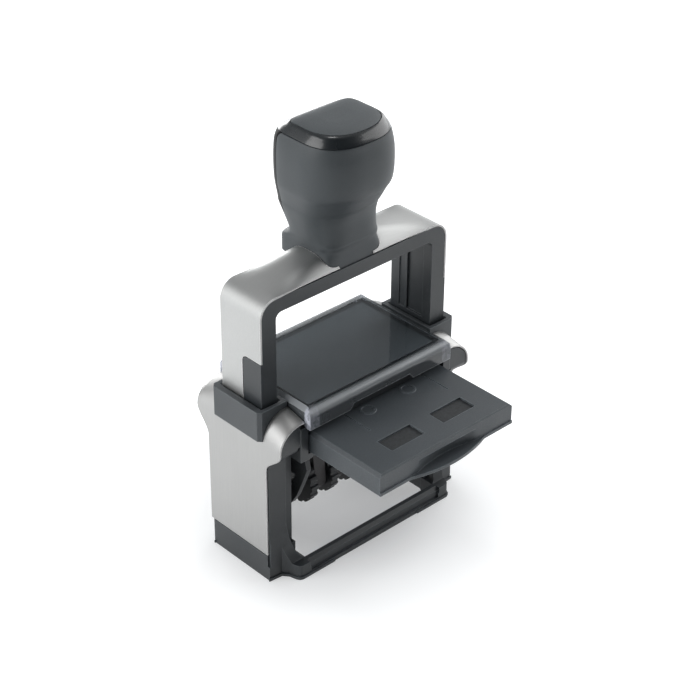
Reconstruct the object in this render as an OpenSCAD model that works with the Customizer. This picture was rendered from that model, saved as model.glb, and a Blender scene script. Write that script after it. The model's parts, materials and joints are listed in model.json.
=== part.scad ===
// Self-inking date stamp: a bridge handle slides down over a housing, turns the type
// carrier over by half a turn and presses it on the paper below. Millimetres, +Z up,
// origin on the paper at the centre of the imprint, front towards -Y, with the ink
// cassette drawn out to the front.

/* [Type carrier] */
// Width of the text plate
text_w = 56; // [52:1:62]
// Depth of the text plate
text_d = 32; // [28:1:34]
// Height of the printing face above the flip axis
face_lift = 9.2; // [8.4:0.1:10.4]
// Distance from the flip axis down to the axle of the date wheels
wheel_drop = 18.2; // [17:0.1:19.4]
// Radius of a date wheel's thumb disc
wheel_r = 8.6; // [8:0.1:9.4]
// Radius of the drum that a date band runs on
drum_r = 5; // [4.4:0.1:5.6]
// Distance between two date wheels
wheel_pitch = 10; // [9.4:0.1:10.4]
// Radius of the axle of the date wheels
axle_r = 1.5; // [1.2:0.1:1.8]
// Thickness of a date band
band_t = 0.9; // [0.7:0.05:1.1]
// Radius of the pins that carry the type carrier
pivot_r = 2; // [1.7:0.1:2.2]
// Distance of the flip pin from the flip axis
flip_reach = 4.5; // [4.2:0.1:4.7]
// Radius of the flip pin
flip_r = 1.3; // [1:0.1:1.5]

/* [Ink cassette] */
// Depth of the ink cassette, front to back
pad_d = 44; // [40:1:45]
// Height of the ink cassette
pad_h = 8.3; // [7.6:0.1:9.4]
// Thickness of the cassette's side walls
pad_wall = 2.6; // [2.2:0.1:3]
// How far the cassette is drawn out of its bay
drawn_d = 32.7; // [26:0.1:36]
// Overhang of the closed cassette in front of the deck
pad_overhang = 2.4; // [2:0.1:3]
// Gap between the printing face and the cassette above it
ink_gap = 2.6; // [2.4:0.1:3.2]
// Width of the cassette's finger catch
tab_w = 36; // [30:1:44]
// How far the finger catch stands out in front of the cassette
tab_d = 3.2; // [2.6:0.1:4]
// Depth of the scoop above the finger catch
scoop_d = 2; // [1.4:0.1:2.2]

/* [Handle] */
// Press travel of the handle
travel = 32.3; // [31:0.1:34]
// Depth of the bridge and its legs
leg_d = 20.7; // [19:0.1:22]
// Thickness of a leg's plastic core
leg_t = 6.4; // [6:0.1:7]
// Height of the bridge's cross bar
bar_top_t = 5.5; // [5:0.1:7]
// Outer corner radius of the bridge
bridge_r = 6.7; // [5.5:0.1:8]
// Rise of the crowned steel beside the knob
crown_h = 5; // [3.5:0.1:6]
// Width of the knob at its widest
knob_w = 39.2; // [36:0.2:44]
// Depth of the knob at its widest
knob_d = 35.6; // [33:0.2:40]
// Height of the knob above the bridge
knob_h = 52.2; // [48:0.1:60]
// Width of the knob's foot
knob_foot_w = 26; // [24:0.5:27]
// Distance from the cross bar down to the top of a leg's spring bore
bore_drop = 9.8; // [8:0.2:12]
// Height of the lock button above the bridge
lock_rise = 4.2; // [3.6:0.1:5]
// Radius of the lock button
lock_r = 2.3; // [2:0.1:2.5]
// Travel of the lock button
lock_travel = 2; // [1.6:0.1:2.4]

/* [Housing] */
// Thickness of the steel covers
steel_t = 0.7; // [0.5:0.05:0.9]
// Thickness of the housing's outer wall beside a leg
shell_t = 1; // [0.8:0.1:1.4]
// Thickness of the walls beside the cassette's bay
bay_wall = 3.6; // [3.2:0.1:4.2]
// Height of the foot ring at the sides
ring_side_h = 10.6; // [9.6:0.1:12]
// Height of the foot ring's front and back bars
bar_h = 5.8; // [5:0.1:7]
// Depth of the foot ring's front and back bars
bar_d = 3.7; // [3:0.1:4.4]
// Depth of the steel cover in front of the leg, at the waist
waist_front = 3.8; // [3.2:0.1:4.4]
// Depth of the steel cover behind the leg, at the waist
waist_back = 6.6; // [5.6:0.1:7.4]
// Depth of the shoulder in front of the leg
shoulder_front = 11.4; // [10.4:0.1:12.4]
// Depth of the shoulder behind the leg
shoulder_back = 12.4; // [10.4:0.1:13.4]
// Height of the shoulder's outer edge, where its bend starts
bend_z = 58; // [57:0.1:59]
// Radius of the shoulder's outer bend
bend_r = 10; // [9:0.1:11]
// Height of the shoulder's steel above the deck, at its front and back edges
shoulder_rise = 2; // [1.6:0.1:2.6]
// Height of the collar above the shoulder's edge
collar_h = 4.9; // [4.4:0.1:5.6]
// How far the collar stands out of the steel cover
collar_proud = 1.3; // [1:0.1:1.6]
// Margin of the collar in front of the leg and behind it
collar_margin = 2.4; // [2:0.1:2.8]
// Height of the collar's lower edge above the start of the shoulder's bend
collar_rise = 1.4; // [1:0.1:2]
// Height of the plateau that carries the index card
plateau_h = 5.7; // [5.2:0.1:6.4]
// Thickness of the clear window cover
window_t = 1.2; // [1:0.05:1.4]

/* [Clearances] */
// Gap round a leg in its channel, and between other moving flat faces
run_gap = 0.3; // [0.25:0.05:0.35]
// Radial gap of a turning or sliding pin
turn_gap = 0.05; // [0.04:0.01:0.07]
// Gap between pieces that are clipped together
clip_gap = 0.1; // [0.08:0.01:0.14]
// Gap between the cassette and its bay
bay_gap = 0.5; // [0.42:0.02:0.6]
// Overrun of every cut
cut = 1; // [0.8:0.1:1.2]

/* [Hidden] */
$fn = 48;
wheels = 4;

// Places across the part, from the text plate outwards
cheek_t = 2;
cheek_in = text_w / 2 + 2 * clip_gap;
cheek_out = cheek_in + cheek_t;
felt_margin = 1.6;
felt_half = text_w / 2 + felt_margin;
pad_half = felt_half + pad_wall;
bay_half = pad_half + bay_gap + clip_gap;
bay_out = bay_half + bay_wall;
leg_in = bay_out + bay_gap;
leg_core_out = leg_in + leg_t;
leg_out = leg_core_out + steel_t;
channel_out = leg_out + run_gap;
shell_out = channel_out + shell_t;
body_half = shell_out + steel_t;
leg_mid = leg_in + leg_t / 2;
pillar_in = leg_in + bay_gap;
rail_in = cheek_out + bay_gap + clip_gap;

// Places up the part, from the paper
axis_z = face_lift + travel;
face_z = axis_z + face_lift;
pad_z = face_z + ink_gap;
pad_top = pad_z + pad_h;
bay_top = pad_top + bay_gap - clip_gap;
rail_t = 2.6;
rail_top = pad_z - run_gap - clip_gap;
rail_z = rail_top - rail_t;
deck_t = 2.4;
deck_top = bay_top + deck_t;
plateau_top = deck_top + plateau_h;
card_t = 0.5;
window_top = plateau_top + card_t + 2 * clip_gap + window_t;
stop_gap = 1.5;
bridge_z = window_top + travel + stop_gap;
core_top = bridge_z + bar_top_t;
steel_top = core_top + steel_t;
knob_top = core_top + knob_h;
shoulder_top = deck_top + shoulder_rise;
collar_top = shoulder_top + collar_h;
collar_low = bend_z + collar_rise;
floor_t = 3.2;
leg_bottom = floor_t + travel + stop_gap / 2;

// Places from front to back
carrier_half = text_d / 2;
swing_r = norm([carrier_half, face_lift]);
leg_half = leg_d / 2;
channel_half = leg_half + run_gap;
collar_half = leg_half + collar_margin;
channel_wall = 1.6;
ring_in = swing_r + clip_gap;
ring_out = ring_in + bar_d;
waist_f = leg_half + waist_front;
waist_b = leg_half + waist_back;
shoulder_f = leg_half + shoulder_front;
shoulder_b = leg_half + shoulder_back;
bay_f = shoulder_f - clip_gap;

// Helpers
module box(lo, hi) {
    translate(lo) cube(hi - lo);
}
module sides() {
    children();
    mirror([1, 0, 0]) children();
}
module side(s) {
    if (s > 0) children();
    else mirror([1, 0, 0]) children();
}
// A profile drawn in Y and Z, extruded along X
module along_x(from, to) {
    translate([from, 0, 0]) rotate([90, 0, 90]) linear_extrude(to - from) children();
}
// A profile drawn in X and Z, extruded along Y
module along_y(from, to) {
    translate([0, to, 0]) rotate([90, 0, 0]) linear_extrude(to - from) children();
}
function arc(c, a, b, from, to, steps) = [
    for (i = [0 : steps])
        let (t = from + (to - from) * i / steps)
            [c[0] + a * cos(t), c[1] + b * sin(t)]
];
function mix(a, b, t) = a + (b - a) * t;
function smooth(t) = let (u = min(max(t, 0), 1)) u * u * (3 - 2 * u);
// A closed skin over rings of points that run anticlockwise seen from the last ring
module skin(rings, strips = false) {
    n = len(rings[0]);
    last = len(rings) - 1;
    walls = [
        for (k = [0 : last - 1], i = [0 : n - 1])
            let (a = k * n + i, b = k * n + (i + 1) % n)
                each [[a, a + n, b + n], [a, b + n, b]]
    ];
    pairs = [for (i = [0 : n / 2 - 2]) [i, i + 1, n - 2 - i, n - 1 - i]];
    first_cap = strips
        ? [for (p = pairs) each [[p[0], p[1], p[2]], [p[0], p[2], p[3]]]]
        : [[for (i = [0 : n - 1]) i]];
    last_cap = strips
        ? [for (p = pairs) each [last * n * [1, 1, 1] + [p[0], p[2], p[1]],
            last * n * [1, 1, 1] + [p[0], p[3], p[2]]]]
        : [[for (i = [0 : n - 1]) last * n + n - 1 - i]];
    polyhedron([for (r = rings) each r], concat(walls, first_cap, last_cap));
}

// Base frame: foot ring, columns with a channel for each leg, shoulders
corner_x = 10;
corner_y = 7.2;
foot_lip = 0.4;
foot_lip_h = 1.1;
flange_d = 0.8;
flange_h = 1.4;
bevel = 1.2;
toe_h = 3.6;
// Shares of a corner's width and depth, from the side round the toe to the front
toe_shares = [[0, 1], [0.55, 0.92], [0.72, 0.64], [0.8, 0.24], [0.87, 0.07], [1, 0]];
step_low_share = 0.83;
step_high_share = 0.985;
back_low_share = 0.82;
edge_inset = 0.4;
// Front and back edges of the column at a height: waist, then shoulder
function front_edge(z) = -mix(waist_f, shoulder_f,
    smooth((z / bend_z - step_low_share) / (step_high_share - step_low_share)));
function back_edge(z) = mix(waist_b, shoulder_b,
    smooth((z / bend_z - back_low_share) / (1 - back_low_share)));
module foot_outline(grow) {
    x = body_half + grow;
    y = ring_out + grow;
    last = len(toe_shares) - 1;
    quarter = [for (p = toe_shares) [x - p[0] * corner_x, y - p[1] * corner_y]];
    polygon(concat(
        quarter,
        [for (i = [last : -1 : 0]) [-quarter[i][0], quarter[i][1]]],
        [for (p = quarter) [-p[0], -p[1]]],
        [for (i = [last : -1 : 0]) [quarter[i][0], -quarter[i][1]]]
    ));
}
module ring_section() {
    // Front and back bars, with a flange at the foot and a bevel on the outer top edge
    face = ring_out - flange_d;
    for (s = [-1, 1]) polygon([
        [s * (ring_in - cut), 0], [s * (ring_out + cut), 0], [s * (ring_out + cut), flange_h],
        [s * face, flange_h + flange_d / 2], [s * face, bar_h - bevel],
        [s * (face - bevel), bar_h], [s * (ring_in - cut), bar_h]
    ]);
}
module foot_ring() {
    difference() {
        union() {
            intersection() {
                linear_extrude(ring_side_h) foot_outline(0);
                union() {
                    along_x(-body_half, body_half) ring_section();
                    sides() box([bay_half, -ring_out, 0], [body_half, ring_out, bar_h]);
                    sides() box([bay_half, -waist_f, 0], [body_half, waist_b, ring_side_h]);
                }
            }
            linear_extrude(foot_lip_h) intersection() {
                foot_outline(foot_lip);
                sides() for (s = [-1, 1]) translate([body_half - corner_x, s * ring_out])
                    square([3 * corner_x, 2 * corner_y], center = true);
            }
        }
        box([-bay_half, -ring_in, -cut], [bay_half, ring_in, ring_side_h + cut]);
    }
}
// Section of a shoulder in X and Z: the space below the steel cover's bend
module shoulder_section(inset) {
    a = bend_r - inset;
    b = shoulder_top - bend_z - inset;
    polygon(concat(
        [[bay_out, 0], [body_half - inset, 0]],
        [for (p = arc([body_half - bend_r, bend_z], a, b, 0, 90, 12))
            if (p[0] > bay_out + clip_gap) p],
        [[bay_out, shoulder_top - inset]]
    ));
}
// The moulding stands back from the steel's front edge below, and comes out past it above
function moulding_front(z) = front_edge(z)
    - edge_inset * (1 - 2 * smooth(3 * (z / bend_z - step_low_share) / (1 - step_low_share)));
module column_outline() {
    steps = 12;
    rise = [for (i = [0 : steps]) bend_z * mix(step_low_share, 1, i / steps)];
    polygon(concat(
        [[-waist_f - edge_inset, 0]],
        [for (z = rise) [moulding_front(z), z]],
        [[-shoulder_f + edge_inset, shoulder_top], [shoulder_b - edge_inset, shoulder_top]],
        [for (i = [steps : -1 : 0]) [back_edge(rise[i]) - edge_inset, rise[i]]],
        [[waist_b - edge_inset, 0]]
    ));
}
module flare_section() {
    // Concave toe of the front pillar, and the same at the back
    reach = ring_out - waist_f;
    rise = 2 * ring_side_h;
    polygon(concat(
        [[-waist_f + channel_wall, 0], [-ring_out, 0]],
        arc([-ring_out, toe_h + rise], reach, rise, -90, 0, 12),
        [[-waist_f + channel_wall, toe_h + rise]]
    ));
}
module toe_front() {
    // The toe seen from the front: its inner edge sweeps in towards the bar
    reach = pillar_in - bay_half + bay_gap;
    rise = 2 * ring_side_h;
    polygon(concat(
        [[shell_out, 0], [bay_half - bay_gap, 0]],
        arc([bay_half - bay_gap, bar_h + rise], reach, rise, -90, 0, 12),
        [[shell_out, bar_h + rise]]
    ));
}
// Path of the flip pin as the carrier turns, moved sideways by a distance
function cam_path(over) = [
    for (i = [0 : 24])
        let (turn = 180 * i / 24,
            way = [-flip_reach * cos(turn), -travel / PI - flip_reach * sin(turn)],
            normal = [way[1], -way[0]] / norm(way))
                [-flip_reach * sin(turn), axis_z - travel * i / 24 + flip_reach * cos(turn)]
                    + over * normal
];
module base_frame() {
    slot_half = pivot_r + run_gap;
    groove_half = flip_r + run_gap;
    groove_depth = bay_wall / 2;
    color("#26282a") difference() {
        union() {
            foot_ring();
            sides() {
                // Inner wall with the slot and the cam groove
                box([bay_half, -channel_half - channel_wall, 0],
                    [leg_in, channel_half + channel_wall, rail_z]);
                // Column and shoulder round the leg's channel
                intersection() {
                    along_y(-shoulder_f, shoulder_b) shoulder_section(steel_t + clip_gap);
                    along_x(bay_out, body_half) column_outline();
                    union() {
                        box([pillar_in, -ring_out, 0], [body_half, ring_out, bend_z]);
                        box([bay_out, -shoulder_f, bend_z * step_high_share],
                            [body_half, shoulder_b, shoulder_top]);
                    }
                }
                intersection() {
                    linear_extrude(3 * ring_side_h) foot_outline(0);
                    along_x(bay_half - bay_gap, shell_out) {
                        flare_section();
                        mirror([1, 0, 0]) flare_section();
                    }
                    along_y(-ring_out, ring_out) toe_front();
                }
            }
        }
        sides() {
            box([bay_out, -channel_half, floor_t],
                [channel_out, channel_half, shoulder_top + cut]);
            hull() for (z = [axis_z, axis_z - travel]) translate([bay_half - cut, 0, z])
                rotate([0, 90, 0]) cylinder(r = slot_half, h = bay_wall + 2 * cut);
            along_x(bay_half - cut, bay_half + groove_depth)
                polygon(concat(cam_path(groove_half),
                    [for (i = [24 : -1 : 0]) cam_path(-groove_half)[i]]));
            for (z = [axis_z + flip_reach, axis_z - travel - flip_reach])
                translate([bay_half - cut, 0, z]) rotate([0, 90, 0])
                    cylinder(r = groove_half, h = groove_depth + cut);
        }
    }
}

// Pad housing: the bay of the cassette, its rails, and the plateau of the index card
deck_ledge = 0.8;
plateau_half = bay_half - 2 * clip_gap;
plateau_f = bay_f - deck_ledge;
module pad_housing() {
    back_t = 1.2;
    color("#222426") difference() {
        union() {
            box([-bay_out, -bay_f, rail_z], [bay_out, bay_f, deck_top]);
            box([-plateau_half, -plateau_f, deck_top], [plateau_half, plateau_f, plateau_top]);
        }
        box([-bay_half, -bay_f - cut, rail_top], [bay_half, bay_f - back_t, bay_top]);
        box([-rail_in, -bay_f - cut, rail_z - cut], [rail_in, bay_f + cut, rail_top + cut]);
    }
}

// Steel side covers: a sheet bent over each shoulder, crowned from front to back
cover_z = ring_side_h + 2 * clip_gap;
shoulder_crown = 3.9;
cover_in = bay_out - cheek_t + 2 * clip_gap;
function cover_top(y, share) = shoulder_top
    + shoulder_crown * max(0, 1 - pow(y / shoulder_b, 2)) * share;
function cover_point(row, y, inset) =
    row[0] == "wall" ? [body_half - inset, y, row[1]]
    : row[0] == "bend"
        ? [body_half - inset - (bend_r - inset) * (1 - cos(row[1])), y,
            bend_z + (cover_top(y, 1) - bend_z - inset) * sin(row[1])]
    : [row[1], y, cover_top(y, 1) - inset];
function row_height(row) = row[0] == "wall" ? row[1] : bend_z;
module side_cover(s) {
    columns = 10;
    rows = concat(
        [["wall", cover_z]],
        [for (i = [0 : 8]) ["wall", bend_z * mix(step_low_share, 1, i / 8)]],
        [for (i = [1 : 9]) ["bend", 10 * i]],
        [["flat", cover_in]]
    );
    hole_half = collar_half + clip_gap;
    color("#c3c6c8") side(s) difference() {
        skin([
            for (row = rows)
                let (z = row_height(row), f = front_edge(z), b = back_edge(z))
                    concat(
                        [for (j = [0 : columns]) cover_point(row, mix(f, b, j / columns), 0)],
                        [for (j = [columns : -1 : 0])
                            cover_point(row, mix(f, b, j / columns), steel_t)]
                    )
        ], strips = true);
        box([cover_in - cut, -hole_half, collar_low - clip_gap],
            [body_half + cut, hole_half, collar_top + cut]);
    }
}
module left_side_cover() side_cover(-1);
module right_side_cover() side_cover(1);

// Guide collars: sockets on the shoulders that the legs slide through
funnel = 0.6;
module collar(s) {
    collar_out = body_half + collar_proud;
    color("#3a3d40") side(s) difference() {
        translate([0, 0, collar_low]) linear_extrude(collar_top - collar_low) polygon([
            [cover_in, -collar_half], [body_half, -collar_half],
            [collar_out, -collar_half + collar_proud], [collar_out, collar_half - collar_proud],
            [body_half, collar_half], [cover_in, collar_half]
        ]);
        // Funnel that leads the leg in
        hull() for (grow = [0, 1]) box(
            [leg_in - run_gap - grow * funnel, -channel_half - grow * funnel,
                collar_top + (grow - 1) * funnel],
            [channel_out + grow * funnel, channel_half + grow * funnel,
                collar_top + (grow - 1) * funnel + clip_gap]);
        along_y(-shoulder_f, shoulder_b) shoulder_section(steel_t);
        box([0, -shoulder_f, 0], [bay_out + clip_gap, shoulder_b, deck_top]);
        box([leg_in - run_gap, -channel_half, bend_z - cut],
            [channel_out, channel_half, collar_top + cut]);
        box([bay_out, -channel_half, 0], [channel_out, channel_half, deck_top + shoulder_rise]);
    }
}
module left_collar() collar(-1);
module right_collar() collar(1);

// Index card and its clear cover
module index_card() {
    margin = 2.4;
    color("#3f4347") box([-plateau_half + margin, -plateau_f + margin, plateau_top],
        [plateau_half - margin, plateau_f - margin, plateau_top + card_t]);
}
window_half = bay_half + window_t;
// Reach of its front and back walls past the plateau, and the radius of their upper edges
window_reach = 3.1;
window_r = 3.6;
window_front = plateau_f + window_reach;
lip_z = deck_top - run_gap;
module window_profile(inset) {
    f = window_front - inset;
    r = window_r - inset;
    z = window_top - window_r;
    polygon(concat(
        [[-f, lip_z - (inset > 0 ? cut : 0)]],
        arc([-f + r, z], r, r, 180, 90, 6), arc([f - r, z], r, r, 90, 0, 6),
        [[f, lip_z - (inset > 0 ? cut : 0)]]
    ));
}
module window_cover() {
    side_bevel = 1.6;
    notch_top = 2.3;
    notch_half = 13.4;
    notch_foot = 15.3;
    end_block = 3;
    color("#aeb6bb", 0.6) difference() {
        intersection() {
            along_x(-window_half, window_half) window_profile(0);
            along_y(-window_front, window_front) polygon([
                [-window_half, lip_z], [-window_half, window_top - side_bevel],
                [-window_half + side_bevel, window_top], [window_half - side_bevel, window_top],
                [window_half, window_top - side_bevel], [window_half, lip_z]
            ]);
        }
        along_x(-bay_half + end_block, bay_half - end_block) window_profile(window_t);
        along_x(-bay_half, bay_half) intersection() {
            window_profile(window_t);
            square(2 * [plateau_f + clip_gap, window_top], center = true);
        }
        // Side walls and corner blocks stand on the deck
        sides() box([bay_half - end_block - cut, -bay_f - clip_gap, lip_z - cut],
            [window_half + cut, bay_f + clip_gap, deck_top]);
        along_y(-window_front - cut, -plateau_f - clip_gap) polygon([
            [-notch_foot, lip_z - cut], [-notch_foot, lip_z], [-notch_half, lip_z + notch_top],
            [notch_half, lip_z + notch_top], [notch_foot, lip_z], [notch_foot, lip_z - cut]
        ]);
    }
}

// Return springs and their rods
spring_y = 6;
spring_wall = 0.6;
bore_r = leg_t / 2 - spring_wall;
wire_r = 0.35;
coil_r = bore_r - wire_r - run_gap;
rod_r = 1;
bore_top = bridge_z - bore_drop;
module spring_rod(s) {
    color("#b0b3b5") side(s) translate([leg_mid, spring_y, floor_t])
        cylinder(r = rod_r, h = bore_top - travel - stop_gap - floor_t);
}
module left_spring_rod() spring_rod(-1);
module right_spring_rod() spring_rod(1);
module return_spring(s) {
    turns = 10;
    steps = 10;
    faces = 5;
    z0 = floor_t + wire_r;
    rise = bore_top - floor_t - 2 * wire_r;
    color("#b8babc") side(s) translate([leg_mid, spring_y, z0]) skin([
        for (i = [0 : turns * steps])
            let (a = 360 * i / steps, z = rise * i / (turns * steps)) [
                for (j = [0 : faces - 1])
                    let (p = 360 * j / faces, r = coil_r + wire_r * cos(p))
                        [r * cos(a), r * sin(a), z - wire_r * sin(p)]
            ]
    ]);
}
module left_return_spring() return_spring(-1);
module right_return_spring() return_spring(1);

// Ink cassette, drawn out, and its felt
pad_front = -bay_f - pad_overhang - drawn_d;
pad_rear = pad_front + pad_d;
roof_t = 3.6;
module pad_cassette() {
    edge = 1.2;
    lip = 1.2;
    rim = 0.5;
    well = 0.7;
    well_w = 15.5;
    well_d = 7.3;
    // Shares of the half width at which the wells, the snap rings and the lines lie
    well_shares = [-0.35, 0.42];
    ring_shares = [-0.25, 0.35];
    line_shares = [-0.5, 0.68];
    well_depth_share = 0.27;
    ring_depth_share = 0.72;
    well_y = pad_front + well_depth_share * pad_d;
    line_w = 0.4;
    ring_r = 3;
    ring_y = pad_front + ring_depth_share * pad_d;
    spread = (tab_w * tab_w / 4 + tab_d * tab_d) / (2 * tab_d);
    color("#33373a") difference() {
        union() {
            intersection() {
                box([-pad_half, pad_front, pad_z], [pad_half, pad_rear, pad_top]);
                along_y(pad_front, pad_rear) polygon([
                    [-pad_half, pad_z], [-pad_half, pad_top - edge],
                    [-pad_half + edge, pad_top], [pad_half - edge, pad_top],
                    [pad_half, pad_top - edge], [pad_half, pad_z]
                ]);
                along_x(-pad_half, pad_half) polygon([
                    [pad_front, pad_z], [pad_front, pad_z + lip], [pad_front + rim, pad_z + lip],
                    [pad_front + rim, pad_top - rim], [pad_front + 2 * rim, pad_top],
                    [pad_rear, pad_top], [pad_rear, pad_z]
                ]);
            }
            // Finger catch: a crescent shelf that carries on the lip
            intersection() {
                box([-tab_w / 2, pad_front - tab_d, pad_z], [tab_w / 2, pad_front + rim, pad_z + lip]);
                translate([0, pad_front - tab_d + spread, pad_z - cut])
                    cylinder(r = spread, h = lip + 2 * cut, $fn = 96);
            }
            // Snap rings on the roof
            for (x = ring_shares * pad_half) translate([x, ring_y, pad_top - clip_gap])
                cylinder(r = ring_r, h = 3 * clip_gap);
        }
        for (x = ring_shares * pad_half) translate([x, ring_y, pad_top - clip_gap])
            cylinder(r = ring_r - 2 * line_w, h = cut);
        // Scoop above the finger catch
        intersection() {
            box([-tab_w / 2, pad_front - cut, pad_z + lip], [tab_w / 2, pad_front + scoop_d + rim,
                pad_top - 2 * edge]);
            translate([0, pad_front + rim + scoop_d - spread, pad_z])
                cylinder(r = spread, h = pad_h, $fn = 96);
        }
        // Cavity of the felt
        box([-felt_half, pad_front + pad_wall + scoop_d, pad_z - cut],
            [felt_half, pad_rear - pad_wall, pad_top - roof_t]);
        for (x = well_shares * pad_half)
            box([x - well_w / 2, well_y - well_d / 2, pad_top - well],
                [x + well_w / 2, well_y + well_d / 2, pad_top + cut]);
        for (x = line_shares * pad_half)
            box([x - line_w / 2, pad_front + pad_d / 2, pad_top - line_w],
                [x + line_w / 2, pad_rear + cut, pad_top + cut]);
    }
}
module felt_pad() {
    color("#4a3f63") box(
        [-felt_half + clip_gap, pad_front + pad_wall + scoop_d + clip_gap, pad_z + clip_gap],
        [felt_half - clip_gap, pad_rear - pad_wall - clip_gap, pad_top - roof_t - clip_gap]);
}

// Bridge: plastic core, legs, and the steel cover on each half
notch_z = leg_bottom + 52;
notch_y = -1;
core_half = leg_half - clip_gap;
screw_x = 4.5;
screw_r = 1.3;
head_r = 2.5;
screw_h = 19;
// Bare part of a leg's outer face, with one rounded corner at its top
module insert_outline(grow, over) {
    corner = 2;
    r = corner + grow;
    polygon(concat(
        [[-leg_half - over, leg_bottom - over], [notch_y + grow, leg_bottom - over]],
        arc([notch_y + grow - r, notch_z + grow - r], r, r, 0, 90, 6),
        [[-leg_half - over, notch_z + grow]]
    ));
}
module bridge_frame() {
    corner_ease = 0.5;
    corner = bridge_r - steel_t + corner_ease;
    inner = 2.5;
    recess = 0.8;
    recess_half = 6;
    color("#2b2d2f") difference() {
        union() {
            along_y(-core_half, core_half) difference() {
                polygon(concat(
                    [[leg_core_out, leg_bottom]],
                    arc([leg_core_out - corner, core_top - corner], corner, corner, 0, 90, 10),
                    arc([-leg_core_out + corner, core_top - corner], corner, corner, 90, 180, 10),
                    [[-leg_core_out, leg_bottom]]
                ));
                polygon(concat(
                    [[leg_in, leg_bottom - cut]],
                    arc([leg_in - inner, bridge_z - inner], inner, inner, 0, 90, 6),
                    arc([-leg_in + inner, bridge_z - inner], inner, inner, 90, 180, 6),
                    [[-leg_in, leg_bottom - cut]]
                ));
            }
            sides() intersection() {
                along_x(leg_core_out - cut, leg_out) insert_outline(0, 0);
                box([0, -core_half, leg_bottom], [leg_out, core_half, notch_z]);
            }
        }
        sides() {
            translate([leg_mid, spring_y, leg_bottom - cut])
                cylinder(r = bore_r, h = bore_top - leg_bottom + cut);
            translate([leg_in - cut, 0, axis_z]) rotate([0, 90, 0])
                cylinder(r = pivot_r + turn_gap, h = leg_t - shell_t + cut);
            box([leg_in - cut, -recess_half, collar_top + stop_gap],
                [leg_in + recess, recess_half / 3, bridge_z - inner]);
            box([leg_in - cut, recess_half / 2, collar_top + stop_gap],
                [leg_in + recess / 2, recess_half, bridge_z - inner]);
            translate([screw_x, 0, bridge_z - cut]) {
                cylinder(r = screw_r + turn_gap, h = bar_top_t + 2 * cut);
                cylinder(r = head_r + turn_gap, h = bar_top_t / 2 + cut);
            }
        }
    }
}
crown_start_share = 0.86;
crown_full_share = 0.38;
// Where the steel ends in front of the knob's foot
cover_end = 8;
function crown(x, y) = crown_h
    * smooth((crown_start_share - x / leg_out) / (crown_start_share - crown_full_share))
    * (1 - pow(abs(y) / leg_half, 3));
module bridge_cover(s) {
    columns = 12;
    spans = 10;
    bend_x = leg_out - bridge_r;
    path = concat(
        [[leg_out, leg_bottom, 1, 0]],
        [for (t = [0 : 15 : 90]) [bend_x + bridge_r * cos(t),
            steel_top - bridge_r + bridge_r * sin(t), cos(t), sin(t)]],
        [for (i = [1 : spans]) [mix(bend_x, cover_end, i / spans), steel_top, 0, 1]]
    );
    color("#c8cbcd") side(s) difference() {
        skin([
            for (p = path) concat(
                [for (j = [0 : columns])
                    let (y = mix(-leg_half, leg_half, j / columns))
                        [p[0], y, p[1] + crown(p[0], y)]],
                [for (j = [columns : -1 : 0])
                    let (y = mix(-leg_half, leg_half, j / columns))
                        [p[0] - steel_t * p[2], y, p[1] + crown(p[0], y) - steel_t * p[3]]]
            )
        ], strips = true);
        along_x(leg_core_out - cut, leg_out + cut) insert_outline(clip_gap, cut);
        translate([0, 0, bridge_z]) linear_extrude(knob_h) foot_plan(clip_gap);
    }
}
module left_bridge_cover() bridge_cover(-1);
module right_bridge_cover() bridge_cover(1);

// Knob: lofted grip, gloss cap with a panel down the back, matte inlay, stem and screws.
// Each row holds the shares of height, half width, half depth and shift, and the
// exponents of the section's rounded outline at the front and at the back.
foot_share = knob_foot_w / knob_w;
foot_depth_share = 0.72;
foot_shift_share = 0.17;
knob_shares = [
    [0, foot_share, foot_depth_share, foot_shift_share, 8, 9],
    [0.06, foot_share, foot_depth_share, foot_shift_share, 8, 9],
    [0.12, foot_share, foot_depth_share, foot_shift_share, 5, 8],
    [0.16, 0.68, 0.68, 0.09, 4, 4.4], [0.2, 0.7, 0.7, 0.11, 3.2, 3.4],
    [0.3, 0.76, 0.76, 0.18, 2.8, 3.2], [0.38, 0.82, 0.82, 0.18, 2.6, 3.4],
    [0.42, 0.84, 0.85, 0.14, 2.6, 3.6], [0.5, 0.9, 0.9, 0.07, 2.6, 3.8],
    [0.56, 0.94, 0.95, 0.02, 2.6, 3.8], [0.66, 0.95, 0.97, 0, 2.6, 4],
    [0.78, 0.95, 0.96, 0, 2.6, 4], [0.86, 0.92, 0.92, 0, 2.6, 4.4],
    [0.915, 0.86, 0.87, -0.03, 2.6, 5], [0.955, 0.79, 0.74, -0.08, 2.6, 6],
    [0.98, 0.72, 0.63, -0.11, 2.6, 8], [0.994, 0.55, 0.47, -0.08, 2.5, 6],
    [1, 0.3, 0.26, -0.05, 2.4, 4]
];
cap_share = 0.915;
panel_share = 0.3;
panel_y_share = 0.6;
inlay_share = 0.955;
// Half width of the inlay, and its reach to the front and to its straight back edge
inlay_half_share = 0.71;
inlay_front_share = 0.74;
inlay_back_share = 0.52;
// Exponents of the inlay's outline: round in front, nearly square at the back
inlay_round = 2.5;
inlay_square = 8;
function power(v, e) = sign(v) * pow(abs(v), e);
module knob_form() {
    sectors = 40;
    skin([
        for (row = knob_shares) [
            for (i = [0 : sectors - 1])
                let (t = 360 * i / sectors, e = 2 / (t > 180 ? row[4] : row[5]))
                    [row[1] * knob_w / 2 * power(cos(t), e),
                        (row[2] * power(sin(t), e) + row[3]) * knob_d / 2,
                        core_top + row[0] * knob_h]
        ]
    ]);
}
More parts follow.
